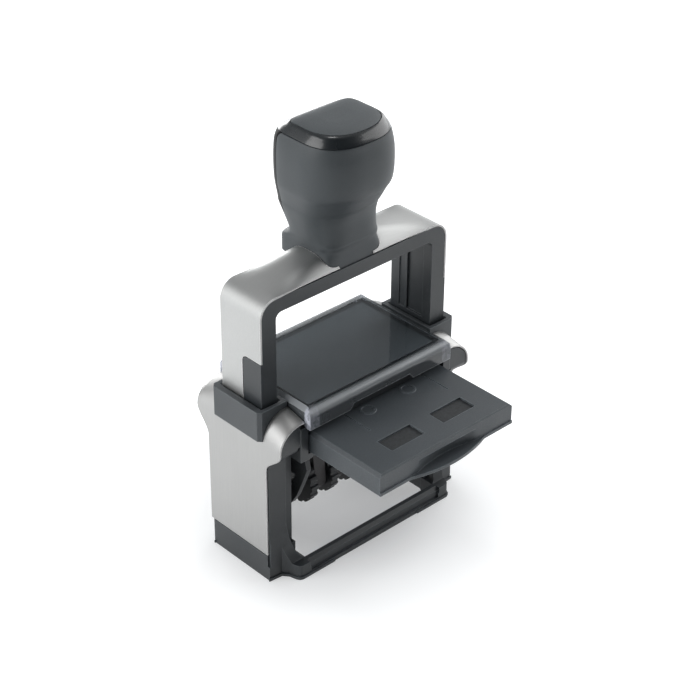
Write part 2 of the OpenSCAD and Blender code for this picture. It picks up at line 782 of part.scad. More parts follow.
// Plan of the knob's foot
module foot_plan(grow) {
    polygon([
        for (i = [0 : 39])
            let (t = 9 * i, e = 2 / (t > 180 ? knob_shares[0][4] : knob_shares[0][5]))
                [(knob_foot_w / 2 + grow) * power(cos(t), e),
                    (foot_depth_share * knob_d / 2 + grow) * power(sin(t), e)
                        + foot_shift_share * knob_d / 2]
    ]);
}
module cap_region(grow) {
    reach = knob_d;
    box([-reach, -reach, core_top + knob_h * cap_share - grow],
        [reach, reach, knob_top + cut]);
    box([-reach, knob_d / 2 * panel_y_share - grow, core_top + knob_h * panel_share - grow],
        [reach, reach, knob_top + cut]);
}
module inlay_region(grow) {
    a = knob_w / 2 * inlay_half_share + grow;
    f = knob_d / 2 * inlay_front_share + grow;
    b = knob_d / 2 * inlay_back_share + grow;
    translate([0, 0, core_top + knob_h * inlay_share - grow])
        linear_extrude(knob_h) polygon([
            for (i = [0 : 39])
                let (t = 9 * i, back = t < 180, e = 2 / (back ? inlay_square : inlay_round))
                    [a * power(cos(t), e), (back ? b : f) * power(sin(t), e)]
        ]);
}
stem_r = 7;
stem_h_share = 0.75;
lock_z = core_top + lock_rise;
lock_rear = knob_d / 2 * (foot_depth_share + foot_shift_share);
lock_proud = 1.3;
module knob_grip() {
    color("#54585a") difference() {
        knob_form();
        cap_region(clip_gap);
        translate([0, 0, core_top - cut])
            cylinder(r = stem_r + clip_gap, h = knob_h * stem_h_share + cut + clip_gap);
        translate([0, lock_rear - 2 * lock_travel - lock_proud, lock_z]) rotate([-90, 0, 0])
            cylinder(r = lock_r + clip_gap, h = 2 * lock_travel + knob_d);
    }
}
module knob_cap() {
    color("#16181a") difference() {
        intersection() {
            knob_form();
            cap_region(0);
        }
        inlay_region(clip_gap);
        translate([0, 0, core_top])
            cylinder(r = stem_r + clip_gap, h = knob_h * stem_h_share + clip_gap);
    }
}
module knob_inlay() {
    color("#515658") intersection() {
        knob_form();
        inlay_region(0);
    }
}
module knob_stem() {
    color("#2b2d2f") difference() {
        translate([0, 0, core_top]) cylinder(r = stem_r, h = knob_h * stem_h_share);
        sides() translate([screw_x, 0, core_top - cut])
            cylinder(r = screw_r + turn_gap, h = screw_h);
    }
}
module knob_screws() {
    head_h = bar_top_t / 2 - clip_gap;
    cross = head_r / 3;
    color("#8d9092") sides() translate([screw_x, 0, bridge_z]) difference() {
        union() {
            cylinder(r = screw_r, h = screw_h);
            translate([0, 0, clip_gap]) cylinder(r = head_r, h = head_h);
        }
        for (a = [0, 90]) rotate([0, 0, a]) box([-head_r * 2 / 3, -cross / 2, -cut],
            [head_r * 2 / 3, cross / 2, head_h / 2]);
    }
}
module pivot_pin(s) {
    color("#b8babc") side(s) translate([cheek_in - clip_gap, 0, axis_z]) rotate([0, 90, 0])
        cylinder(r = pivot_r, h = leg_in + leg_t - shell_t - clip_gap - cheek_in);
}
module left_pivot_pin() pivot_pin(-1);
module right_pivot_pin() pivot_pin(1);
module lock_button() {
    color("#1b1d1f") translate([0, lock_rear - lock_travel - lock_proud / 2, lock_z])
        rotate([-90, 0, 0]) cylinder(r = lock_r, h = lock_travel + 1.5 * lock_proud);
}

// Type carrier, at rest with its printing face up; heights are from the flip axis
plate_t = 1.2;
rubber_t = 0.9;
letter_h = 0.9;
plate_top = face_lift - letter_h - rubber_t;
frame_t = 2.4;
deck_low = plate_top - plate_t - frame_t;
bar_r = 2.6;
band_gap = run_gap;
bar_z = face_lift - band_t - clip_gap - bar_r;
window_x = wheels * wheel_pitch / 2 + rubber_t;
window_y = bar_r + band_t + 2 * run_gap;
hub_r = axle_r + cheek_t;
// Depth and width of a lug that holds the band bar
arm = 1.4;
// Shares of the swing radius and of the wheel drop, down the front edge of a cheek
cheek_shares = [[0.86, 0.4], [0.96, 0.03], [0.81, -0.36], [0.66, -0.72], [0.5, -0.98]];
opening_shares = [[0.3, -0.25], [0.62, -0.22], [0.48, -0.62], [0.26, -0.62]];
module cheek_outline() {
    edge = [for (p = cheek_shares) [p[0] * swing_r, p[1] * wheel_drop]];
    low = -wheel_drop - hub_r;
    last = len(edge) - 1;
    polygon(concat(
        edge,
        [[hub_r, low], [-hub_r, low]],
        [for (i = [last : -1 : 0]) [-edge[i][0], edge[i][1]]]
    ));
}
module carrier_frame() {
    color("#1f2123") translate([0, 0, axis_z]) difference() {
        union() {
            box([-cheek_out, -carrier_half, deck_low],
                [cheek_out, carrier_half, plate_top - plate_t - clip_gap]);
            sides() {
                along_x(cheek_in, cheek_out) cheek_outline();
                // Flip pin
                translate([cheek_in, 0, flip_reach]) rotate([0, 90, 0])
                    cylinder(r = flip_r, h = bay_half + bay_wall / 2 - run_gap - cheek_in);
                // Raised rim round the axle
                translate([cheek_in - cheek_t / 2, 0, -wheel_drop]) rotate([0, 90, 0])
                    cylinder(r = hub_r, h = cheek_t);
                // Lugs that hold the ends of the band bar
                box([window_x, -bar_r, deck_low - 2 * arm],
                    [window_x + 2 * arm, bar_r, plate_top - plate_t - clip_gap]);
            }
        }
        box([-window_x, -window_y, deck_low - cut], [window_x, window_y, plate_top + cut]);
        sides() {
            for (z = [0, -wheel_drop]) translate([cheek_in - cheek_t, 0, z])
                rotate([0, 90, 0]) cylinder(
                    r = (z == 0 ? pivot_r : axle_r) + turn_gap, h = 3 * cheek_t);
            // Openings in the cheeks
            along_x(cheek_in - cut, cheek_out + cut) for (s = [-1, 1])
                polygon([for (p = opening_shares) [s * p[0] * swing_r, p[1] * wheel_drop]]);
        }
        sides() translate([window_x - cut, 0, deck_low - arm]) rotate([0, 90, 0])
            cylinder(r = arm / 2 + turn_gap, h = 2 * arm + 2 * cut);
    }
}
module text_plate() {
    color("#2f3133") translate([0, 0, axis_z]) difference() {
        box([-text_w / 2, -carrier_half, plate_top - plate_t],
            [text_w / 2, carrier_half, plate_top]);
        box([-window_x, -window_y, 0], [window_x, window_y, face_lift]);
    }
}
module text_rubber() {
    inset = 0.8;
    rows = 3;
    row_h = (carrier_half - window_y - inset) / rows;
    // Each row's share of the plate's half width
    row_shares = [0.92, 0.7, 0.84];
    color("#8a3b33") translate([0, 0, axis_z]) {
        difference() {
            box([-text_w / 2 + inset, -carrier_half + inset, plate_top],
                [text_w / 2 - inset, carrier_half - inset, plate_top + rubber_t]);
            box([-window_x, -window_y, 0], [window_x, window_y, face_lift]);
        }
        for (s = [-1, 1], i = [0 : rows - 1]) {
            y = s * (window_y + row_h * (i + 0.5));
            x = row_shares[i] * (text_w / 2 - 2 * inset);
            box([-x, y - row_h / 4, plate_top + rubber_t / 2], [x, y + row_h / 4, face_lift]);
        }
    }
}
module band_bar() {
    reach = window_x - clip_gap;
    color("#3a3d40") translate([0, 0, axis_z]) union() {
        translate([-reach, 0, bar_z]) rotate([0, 90, 0]) cylinder(r = bar_r, h = 2 * reach);
        box([-reach, -bar_r / 2, deck_low - 2 * arm], [reach, bar_r / 2, bar_z]);
        translate([-reach - 2 * arm, 0, deck_low - arm]) rotate([0, 90, 0])
            cylinder(r = arm / 2, h = 2 * reach + 4 * arm);
    }
}
module wheel_axle() {
    head_t = cheek_t / 2;
    color("#b8babc") translate([0, 0, axis_z - wheel_drop]) rotate([0, 90, 0]) union() {
        translate([0, 0, -cheek_out - head_t / 2])
            cylinder(r = axle_r, h = 2 * cheek_out + head_t);
        for (s = [-1, 1]) translate([0, 0, s * (cheek_out + clip_gap + head_t / 2)])
            cylinder(r = axle_r + head_t, h = head_t, center = true);
    }
}
// Outline of a band round the bar and a drum
function belt(grow) =
    let (lo = drum_r + band_gap + grow, hi = bar_r + clip_gap + grow,
        lean = asin((lo - hi) / (bar_z + wheel_drop)))
            concat(
                arc([0, bar_z], hi, hi, lean, 180 - lean, 12),
                arc([0, -wheel_drop], lo, lo, 180 - lean, 360 + lean, 16)
            );
function wheel_x(i) = (i - (wheels + 1) / 2) * wheel_pitch;
disc_share = 0.38;
wheel_gap = 2 * run_gap;
wheel_w = wheel_pitch - wheel_gap;
drum_w = wheel_w * (1 - disc_share);
module date_band(i) {
    x0 = wheel_x(i) + wheel_w / 2 - drum_w + run_gap;
    color("#5b3030") translate([0, 0, axis_z]) along_x(x0, x0 + drum_w - 2 * run_gap)
        difference() {
            polygon(belt(band_t));
            polygon(belt(0));
        }
}
module setting_wheel(i) {
    lobes = 14;
    notch_r = 1.1;
    color("#17191b") translate([wheel_x(i) - wheel_w / 2, 0, axis_z - wheel_drop])
        rotate([0, 90, 0]) difference() {
            union() {
                difference() {
                    cylinder(r = wheel_r, h = wheel_w * disc_share);
                    for (k = [0 : lobes - 1]) rotate([0, 0, 360 * k / lobes])
                        translate([wheel_r + notch_r / 3, 0, -cut])
                            cylinder(r = notch_r, h = wheel_w + 2 * cut, $fn = 16);
                }
                cylinder(r = drum_r, h = wheel_w);
            }
            translate([0, 0, -cut]) cylinder(r = axle_r + turn_gap, h = wheel_w + 2 * cut);
        }
}
module date_band_1() date_band(1);
module date_band_2() date_band(2);
module date_band_3() date_band(3);
module date_band_4() date_band(4);
module setting_wheel_1() setting_wheel(1);
module setting_wheel_2() setting_wheel(2);
module setting_wheel_3() setting_wheel(3);
module setting_wheel_4() setting_wheel(4);

base_frame();
pad_housing();
left_side_cover();
right_side_cover();
left_collar();
right_collar();
index_card();
window_cover();
left_spring_rod();
right_spring_rod();
left_return_spring();
right_return_spring();
pad_cassette();
felt_pad();
bridge_frame();
left_bridge_cover();
right_bridge_cover();
knob_stem();
knob_grip();
knob_cap();
knob_inlay();
knob_screws();
left_pivot_pin();
right_pivot_pin();
lock_button();
carrier_frame();
text_plate();
text_rubber();
band_bar();
wheel_axle();
date_band_1();
date_band_2();
date_band_3();
date_band_4();
setting_wheel_1();
setting_wheel_2();
setting_wheel_3();
setting_wheel_4();
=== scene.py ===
"""Self-inking date stamp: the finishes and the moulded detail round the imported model.

+X is the stamp's right, -Y its front and +Z up; the origin is the centre of the imprint, on
the table. Outlines and mesh points are in millimetres. Blender takes metres: mm() turns the
measures of the stamp and its view into them, and the floor and the lights are in metres.
"""
import json
import math

import bmesh
import bpy
from mathutils import Euler, Matrix, Vector

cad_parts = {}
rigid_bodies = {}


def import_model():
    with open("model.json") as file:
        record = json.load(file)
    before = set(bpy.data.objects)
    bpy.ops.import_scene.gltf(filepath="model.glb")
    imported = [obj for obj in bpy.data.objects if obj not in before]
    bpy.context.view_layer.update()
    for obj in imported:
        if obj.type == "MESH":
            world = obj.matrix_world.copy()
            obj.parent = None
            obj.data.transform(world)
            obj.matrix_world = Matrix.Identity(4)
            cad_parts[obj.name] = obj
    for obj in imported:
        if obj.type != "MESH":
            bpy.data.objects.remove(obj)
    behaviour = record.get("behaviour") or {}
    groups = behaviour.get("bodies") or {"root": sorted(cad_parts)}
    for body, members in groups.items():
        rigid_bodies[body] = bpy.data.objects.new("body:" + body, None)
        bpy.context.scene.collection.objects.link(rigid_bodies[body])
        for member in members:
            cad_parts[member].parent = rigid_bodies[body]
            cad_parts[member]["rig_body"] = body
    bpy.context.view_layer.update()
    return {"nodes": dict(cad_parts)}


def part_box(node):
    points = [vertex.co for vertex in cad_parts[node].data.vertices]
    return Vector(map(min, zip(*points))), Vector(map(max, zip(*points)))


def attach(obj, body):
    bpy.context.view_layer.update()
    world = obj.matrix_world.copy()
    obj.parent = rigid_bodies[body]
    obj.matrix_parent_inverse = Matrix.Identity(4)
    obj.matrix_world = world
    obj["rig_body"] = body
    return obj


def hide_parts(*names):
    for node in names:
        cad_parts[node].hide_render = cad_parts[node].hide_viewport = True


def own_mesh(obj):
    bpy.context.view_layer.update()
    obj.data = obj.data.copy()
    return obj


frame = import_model()
nodes = frame["nodes"]
METRES_PER_MM, MM_PER_METRE = 0.001, 1000


def mm(value):
    return value * METRES_PER_MM


# Camera, at the photograph's viewing angle
VIEW_AZIMUTH = -42.94
VIEW_ELEVATION = 32.015
VIEW_ROLL = 0.26
VIEW_DISTANCE = mm(709.85)
VIEW_AIM = Vector((mm(24.03), mm(23.87), mm(54.15)))
LENS = 99.73
SENSOR = 36.0
CLIP_START = mm(10)


def make_camera():
    data = bpy.data.cameras.new("photo_view")
    data.lens = LENS
    data.sensor_width = SENSOR
    data.sensor_height = SENSOR
    data.clip_start = CLIP_START
    camera = bpy.data.objects.new("photo_view", data)
    bpy.context.scene.collection.objects.link(camera)
    turn = Euler((math.radians(90 - VIEW_ELEVATION), 0, math.radians(VIEW_AZIMUTH))).to_matrix()
    turn = turn @ Matrix.Rotation(math.radians(VIEW_ROLL), 3, "Z")
    place = VIEW_AIM + turn @ Vector((0, 0, VIEW_DISTANCE))
    camera.matrix_world = Matrix.Translation(place) @ turn.to_4x4()
    bpy.context.scene.camera = camera


# Shader building

# The colour sockets of the Mix node, which has others by the same names
MIX_FIRST, MIX_SECOND, MIX_RESULT = 6, 7, 2


class Nodes:
    """A node tree with short calls: make a node, feed its inputs, hand its output on."""

    def __init__(self, tree):
        self.tree = tree

    def feed(self, socket, value):
        """Links another node's output to the socket, or sets the socket to a plain value."""
        if isinstance(value, bpy.types.NodeSocket):
            self.tree.links.new(value, socket)
        else:
            socket.default_value = value

    def add(self, kind, inputs=None, **settings):
        node = self.tree.nodes.new(kind)
        for name, value in settings.items():
            setattr(node, name, value)
        for name, value in (inputs or {}).items():
            self.feed(node.inputs[name], value)
        return node

    def place(self):
        """The point that is shaded, in the object's own axes."""
        return self.add("ShaderNodeTexCoord").outputs["Object"]

    def axis(self, vector, name):
        return self.add("ShaderNodeSeparateXYZ", {"Vector": vector}).outputs[name]

    def math(self, operation, first, second=0.0):
        node = self.add("ShaderNodeMath", operation=operation)
        self.feed(node.inputs[0], first)
        self.feed(node.inputs[1], second)
        return node.outputs[0]

    def vector_math(self, operation, first, second=(0.0, 0.0, 0.0)):
        node = self.add("ShaderNodeVectorMath", operation=operation)
        self.feed(node.inputs[0], first)
        self.feed(node.inputs[1], second)
        return node

    def remap(self, value, low, high, to_low, to_high):
        return self.add(
            "ShaderNodeMapRange",
            {"Value": value, "From Min": low, "From Max": high, "To Min": to_low, "To Max": to_high},
        ).outputs["Result"]

    def noise(self, place, scale, detail, roughness=0.5):
        inputs = {"Vector": place, "Scale": scale, "Detail": detail, "Roughness": roughness}
        return self.add("ShaderNodeTexNoise", inputs).outputs["Fac"]

    def spread(self, noise):
        """A noise, which keeps near its middle, stretched over the whole of 0 to 1."""
        return self.remap(noise, 0.3, 0.7, 0.0, 1.0)

    def bump(self, height, strength, distance):
        inputs = {"Strength": strength, "Distance": distance, "Height": height}
        return self.add("ShaderNodeBump", inputs).outputs["Normal"]

    def mix_color(self, factor, first, second):
        node = self.add("ShaderNodeMix", data_type="RGBA")
        self.feed(node.inputs[0], factor)
        self.feed(node.inputs[MIX_FIRST], first)
        self.feed(node.inputs[MIX_SECOND], second)
        return node.outputs[MIX_RESULT]

    def mix_shaders(self, factor, first, second):
        node = self.add("ShaderNodeMixShader")
        self.feed(node.inputs[0], factor)
        self.feed(node.inputs[1], first.outputs[0])
        self.feed(node.inputs[2], second.outputs[0])
        return node


def new_group(name, inputs, outputs):
    """A shader node group with (name, socket kind, default) inputs and (name, kind) outputs."""
    tree = bpy.data.node_groups.new(name, "ShaderNodeTree")
    for label, kind, default in inputs:
        socket = tree.interface.new_socket(name=label, in_out="INPUT", socket_type=kind)
        socket.default_value = default
    for label, kind in outputs:
        tree.interface.new_socket(name=label, in_out="OUTPUT", socket_type=kind)
    build = Nodes(tree)
    return tree, build, build.add("NodeGroupInput"), build.add("NodeGroupOutput")


FLOAT, VECTOR = "NodeSocketFloat", "NodeSocketVector"


def moulded_grain_group():
    """Fine spark-eroded grain of a moulded part: a normal, and masks for its sheen and tone."""
    tree, build, given, out = new_group(
        "moulded grain",
        [("Grain", FLOAT, 2600.0), ("Depth", FLOAT, 0.15), ("Smudge", FLOAT, 60.0)],
        [("Normal", VECTOR), ("Sheen", FLOAT), ("Tone", FLOAT)],
    )
    place = build.place()
    grain = build.noise(place, given.outputs["Grain"], 3.0, 0.6)
    smudge = build.noise(place, given.outputs["Smudge"], 4.0, 0.55)
    build.feed(out.inputs["Normal"], build.bump(grain, given.outputs["Depth"], mm(0.06)))
    build.feed(out.inputs["Sheen"], build.spread(smudge))
    build.feed(out.inputs["Tone"], build.spread(grain))
    return tree


def brushed_group():
    """Fine drawn lines along one direction, set by a stretch vector."""
    tree, build, given, out = new_group(
        "brushed lines",
        [("Stretch", VECTOR, (1.0, 1.0, 1.0)), ("Depth", FLOAT, 0.1)],
        [("Normal", VECTOR), ("Line", FLOAT), ("Cloud", FLOAT)],
    )
    place = build.place()
    drawn = build.vector_math("MULTIPLY", place, given.outputs["Stretch"]).outputs[0]
    line = build.noise(drawn, 1.0, 5.0, 0.75)
    cloud = build.noise(place, 34.0, 2.0)
    build.feed(out.inputs["Normal"], build.bump(line, given.outputs["Depth"], mm(0.03)))
    build.feed(out.inputs["Line"], build.spread(line))
    build.feed(out.inputs["Cloud"], build.spread(cloud))
    return tree


def edge_wear_and_highlight_group():
    """A mask along the outer edges, broken up in patches: it marks edge wear and painted highlights
    along the edges.
    """
    tree, build, given, out = new_group(
        "edge wear",
        [("Radius", FLOAT, mm(0.7)), ("Breakup", FLOAT, 420.0), ("Least", FLOAT, 0.4)],
        [("Edge", FLOAT)],
    )
    rounded = build.add("ShaderNodeBevel", {"Radius": given.outputs["Radius"]}, samples=6)
    plain = build.add("ShaderNodeNewGeometry").outputs["Normal"]
    turn = build.vector_math("DOT_PRODUCT", rounded.outputs["Normal"], plain)
    near = build.remap(turn.outputs["Value"], 0.995, 0.9, 0.0, 1.0)
    patches = build.noise(build.place(), given.outputs["Breakup"], 3.0)
    broken = build.remap(patches, 0.35, 0.6, given.outputs["Least"], 1.0)
    build.feed(out.inputs["Edge"], build.math("MULTIPLY", near, broken))
    return tree


GRAIN = moulded_grain_group()
BRUSHED = brushed_group()
EDGE_WEAR_AND_HIGHLIGHT = edge_wear_and_highlight_group()

# Materials


def new_material(name):
    """A material with its main shader, handed over with its nodes and its output."""
    material = bpy.data.materials.new(name)
    material.use_nodes = True
    material.node_tree.nodes.clear()
    build = Nodes(material.node_tree)
    shader = build.add("ShaderNodeBsdfPrincipled")
    out = build.add("ShaderNodeOutputMaterial", {"Surface": shader.outputs[0]})
    return material, build, shader, out


def shaded(color, share):
    """The colour paler by a share of itself, or darker by a share below zero."""
    return [c * (1 + share) for c in color] + [1]


# How much paler the edges get: partly wear, partly a painted highlight along the edges
COAT_ROUGHNESS, WEAR_AND_HIGHLIGHT_LIFT = 0.08, 0.02


def plastic(name, color, rough, grain=2600.0, depth=0.15, tone=0.12, coat=0.0, wear_and_highlight=0.0, shine=0.5):
    """Moulded plastic or rubber: grained, uneven in its sheen, and paler at its edges, partly from wear
    and partly as a painted highlight.
    """
    material, build, shader, _ = new_material(name)
    group = build.add("ShaderNodeGroup", node_tree=GRAIN)
    group.inputs["Grain"].default_value = grain
    group.inputs["Depth"].default_value = depth
    surface = build.mix_color(group.outputs["Tone"], shaded(color, -tone), shaded(color, tone))
    # Paler edges: partly real wear, partly a painted highlight
    if wear_and_highlight:
        edge = build.add("ShaderNodeGroup", node_tree=EDGE_WEAR_AND_HIGHLIGHT).outputs["Edge"]
        worn_and_lit = [c * (1 + wear_and_highlight) + WEAR_AND_HIGHLIGHT_LIFT * wear_and_highlight for c in color] + [1]
        surface = build.mix_color(edge, surface, worn_and_lit)
    build.feed(shader.inputs["Base Color"], surface)
    build.feed(shader.inputs["Roughness"], build.remap(group.outputs["Sheen"], 0, 1, *rough))
    build.feed(shader.inputs["Normal"], group.outputs["Normal"])
    shader.inputs["Specular IOR Level"].default_value = shine
    shader.inputs["Coat Weight"].default_value = coat
    shader.inputs["Coat Roughness"].default_value = COAT_ROUGHNESS
    return material


# The steel's edges turn to a near-white colour that is not metal: a painted highlight
STEEL_EDGE_RADIUS, STEEL_EDGE_LEAST = mm(0.45), 0.85
STEEL_EDGE_HIGHLIGHT = (0.95, 0.93, 0.92, 1)


def steel(name, color, stretch, rough, depth=0.12, spread=0.07):
    """Brushed steel, drawn along the direction in which stretch is small, with a painted highlight along
    its edges.
    """
    material, build, shader, _ = new_material(name)
    group = build.add("ShaderNodeGroup", node_tree=BRUSHED)
    group.inputs["Stretch"].default_value = stretch
    group.inputs["Depth"].default_value = depth
    wear_and_highlight = build.add("ShaderNodeGroup", node_tree=EDGE_WEAR_AND_HIGHLIGHT)
    wear_and_highlight.inputs["Radius"].default_value = STEEL_EDGE_RADIUS
    wear_and_highlight.inputs["Least"].default_value = STEEL_EDGE_LEAST
    edge = wear_and_highlight.outputs["Edge"]
    drawn = build.mix_color(group.outputs["Line"], shaded(color, -spread), shaded(color, spread))
    build.feed(shader.inputs["Base Color"], build.mix_color(edge, drawn, STEEL_EDGE_HIGHLIGHT))
    build.feed(shader.inputs["Metallic"], build.math("SUBTRACT", 1.0, edge))
    build.feed(shader.inputs["Roughness"], build.remap(group.outputs["Cloud"], 0, 1, *rough))
    build.feed(shader.inputs["Normal"], group.outputs["Normal"])
    return material


# Clear cover: where its corner blocks begin, how milky they and its edges are, and its colours. The
# milky veil carries painted light: the rail's walls shaded, its top lit, its rims a painted highlight,
# and the blocks' facets in random shades from shaded to lit.
BLOCK_X, BLOCK_Y, BLOCK_FADE = mm(29.4), mm(20.6), mm(0.6)
EDGE_MILK, BLOCK_MILK = 0.85, 0.8
FROST_SHADED_FACET, FROST_LIT_FACET = (0.34, 0.36, 0.42, 1), (0.78, 0.8, 0.9, 1)
RAIL_SHADED_WALL, RAIL_LIT_TOP, RAIL_HIGHLIGHT = (0.10, 0.11, 0.118, 1), (0.42, 0.44, 0.46, 1), (0.62, 0.65, 0.68, 1)
STYRENE_TINT, STYRENE_IOR = (0.93, 0.95, 0.96, 1), 1.49


def beyond(build, place, name, start):
    """A mask of what lies further out than the start along an axis, on either side."""
    away = build.math("ABSOLUTE", build.axis(place, name))
    return build.remap(away, start, start + BLOCK_FADE, 0.0, 1.0)


def clear_plastic():
    """Clear cover: seen through on its flat top, milky where its edges and corner blocks turn down, and
    painted there with light and shade.
    """
    material, build, shader, out = new_material("clear styrene")
    place = build.place()
    surface = build.add("ShaderNodeNewGeometry")
    level = build.math("ABSOLUTE", build.axis(surface.outputs["Normal"], "Z"))
    turned = build.remap(level, 0.98, 0.8, 0.0, 1.0)
    across = beyond(build, place, "X", BLOCK_X)
    along = beyond(build, place, "Y", BLOCK_Y)
    block = build.math("MULTIPLY", across, along)
    sideways = build.math("ABSOLUTE", build.axis(surface.outputs["Normal"], "X"))
    block = build.math("MULTIPLY", block, build.remap(sideways, 0.3, 0.8, 0.3, 1.0))
    ripple = build.noise(place, 90.0, 1.0)
    edges, blocks = build.math("MULTIPLY", turned, EDGE_MILK), build.math("MULTIPLY", block, BLOCK_MILK)
    milk = build.math("MAXIMUM", edges, blocks)
    veil = build.math("MULTIPLY", milk, build.remap(ripple, 0.3, 0.7, 0.92, 1.04))
    # Painted highlights: each facet of a corner block gets a random grey between shaded and lit; the
    # blocks are milkiest on their end faces
    crystal = build.add("ShaderNodeTexVoronoi", {"Vector": place, "Scale": 900.0}).outputs["Color"]
    facet_shade = build.add("ShaderNodeSeparateColor", {"Color": crystal}).outputs[0]
    lit_frost = build.mix_color(facet_shade, FROST_SHADED_FACET, FROST_LIT_FACET)
    edge = build.add("ShaderNodeGroup", node_tree=EDGE_WEAR_AND_HIGHLIGHT).outputs["Edge"]
    # Painted light on the rail: its top lit and its walls shaded by the way the surface faces, and a
    # painted highlight along its rims
    lit_rail = build.mix_color(build.remap(level, 0.1, 0.55, 0.0, 1.0), RAIL_SHADED_WALL, RAIL_LIT_TOP)
    rail_highlights = build.mix_color(edge, lit_rail, RAIL_HIGHLIGHT)
    build.feed(shader.inputs["Base Color"], build.mix_color(block, rail_highlights, lit_frost))
    shader.inputs["Roughness"].default_value = 0.16
    through = build.add("ShaderNodeBsdfTransparent", {"Color": STYRENE_TINT})
    mirror = build.add("ShaderNodeBsdfGlossy", {"Color": (1, 1, 1, 1), "Roughness": 0.05})
    glint = build.add("ShaderNodeFresnel", {"IOR": STYRENE_IOR}).outputs[0]
    outside = build.math("SUBTRACT", 1.0, surface.outputs["Backfacing"])
    pane = build.mix_shaders(build.math("MULTIPLY", glint, outside), through, mirror)
    whole = build.mix_shaders(veil, pane, shader)
    build.feed(out.inputs["Surface"], whole.outputs[0])
    return material


FELT_DARK, FELT_PALE = (0.012, 0.01, 0.03, 1), (0.06, 0.05, 0.12, 1)


def felt():
    """Inked felt: a soft fibre nap, dark with ink."""
    material, build, shader, _ = new_material("inked felt")
    fibre = build.noise(build.place(), 1400.0, 5.0)
    color = build.mix_color(build.remap(fibre, 0.35, 0.65, 0, 1), FELT_DARK, FELT_PALE)
    build.feed(shader.inputs["Base Color"], color)
    build.feed(shader.inputs["Normal"], build.bump(fibre, 0.6, mm(0.2)))
    shader.inputs["Roughness"].default_value = 0.95
    return material


# Grain of the steels: lines up the walls, lines along the arch, and an even grain on turned pins
WALL_LINES = (900.0, 9000.0, 60.0)
TOP_LINES = (60.0, 9000.0, 900.0)
TURNED_LINES = (3000.0, 3000.0, 3000.0)
finishes = {
    "frame_black": plastic("black moulded plastic", (0.030, 0.035, 0.039), (0.34, 0.46), wear_and_highlight=1.2),
    "graphite": plastic("graphite moulded plastic", (0.066, 0.074, 0.080), (0.42, 0.52), wear_and_highlight=0.9),
    "steel_side": steel("brushed steel sheet", (0.42, 0.42, 0.415), WALL_LINES, (0.42, 0.5)),
    "steel_arch": steel("brushed steel arch", (0.48, 0.485, 0.48), TOP_LINES, (0.44, 0.54)),
    # The sheets' cut edges in near-white plastic: a painted highlight along the steel's edge
    "steel_cut_highlight": plastic("sheared steel edge highlight", (0.9, 0.88, 0.87), (0.25, 0.35), depth=0.05, tone=0.06),
    "card": plastic(
        "dark index card", (0.068, 0.078, 0.086), (0.5, 0.6), grain=900.0, depth=0.05, tone=0.05
    ),
    "clear": clear_plastic(),
    "pins": steel("ground pin steel", (0.62, 0.62, 0.61), TURNED_LINES, (0.2, 0.3), 0.03, 0.03),
    "cassette": plastic(
        "slate moulded plastic", (0.068, 0.079, 0.088), (0.36, 0.5), depth=0.22, tone=0.16, wear_and_highlight=1.3
    ),
    # Painted shade: the wells' sunk floors are darkened as though shaded by the recess
    "well": plastic(
        "ribbed well floor in painted shade", (0.026, 0.029, 0.032), (0.55, 0.65), grain=900.0, depth=0.5, tone=0.3
    ),
    "felt": felt(),
    "grip": plastic(
        "soft-touch rubber", (0.056, 0.065, 0.071), (0.48, 0.56), grain=3200.0, depth=0.08, tone=0.05
    ),
    "gloss": plastic(
        "polished black plastic", (0.018, 0.022, 0.025), (0.24, 0.3), depth=0.02, tone=0.05, coat=0.4
    ),
    "panel": plastic("black back panel", (0.008, 0.009, 0.010), (0.4, 0.5), depth=0.05, shine=0.1),
    "inlay": plastic("matt inlay", (0.09, 0.102, 0.109), (0.5, 0.58), grain=2200.0, depth=0.2),
    "die": plastic("die rubber", (0.24, 0.07, 0.055), (0.55, 0.65), depth=0.08),
    "band": plastic("date band rubber", (0.03, 0.028, 0.029), (0.5, 0.6), depth=0.08),
    "wheel": plastic("setting wheel plastic", (0.018, 0.02, 0.022), (0.35, 0.45)),
    "carrier": plastic("carrier plastic", (0.03, 0.033, 0.036), (0.36, 0.48), wear_and_highlight=0.6),
}

# Mesh building


def mesh_piece(name, points, faces, finish):
    mesh = bpy.data.meshes.new(name)
    mesh.from_pydata([Vector(p) * METRES_PER_MM for p in points], [], faces)
    mesh.validate()
    mesh.materials.append(finishes[finish])
    piece = bpy.data.objects.new(name, mesh)
    bpy.context.scene.collection.objects.link(piece)
    return piece


def one_finish(mesh, finish):
    mesh.materials.clear()
    mesh.materials.append(finishes[finish])
    mesh.polygons.foreach_set("material_index", [0] * len(mesh.polygons))


def smooth(piece, angle):
    mesh = piece.data
    mesh.polygons.foreach_set("use_smooth", [True] * len(mesh.polygons))
    mesh.set_sharp_from_angle(angle=math.radians(angle))


def seat(piece, body, *replaced, slot=None):
    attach(piece, body)
    if replaced:
        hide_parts(*replaced)


def bevel(piece, width, angle, segments=2):
    edge = piece.modifiers.new("rounded edges", "BEVEL")
    edge.width = mm(width)
    edge.segments = segments
    edge.limit_method = "ANGLE"
    edge.angle_limit = math.radians(angle)
    piece.modifiers.new("even normals", "WEIGHTED_NORMAL")


# Corners nearer than this in metres become one, and so do faces that bend less than this in degrees
MERGE_DISTANCE, FLAT_ANGLE = 1e-6, 0.8


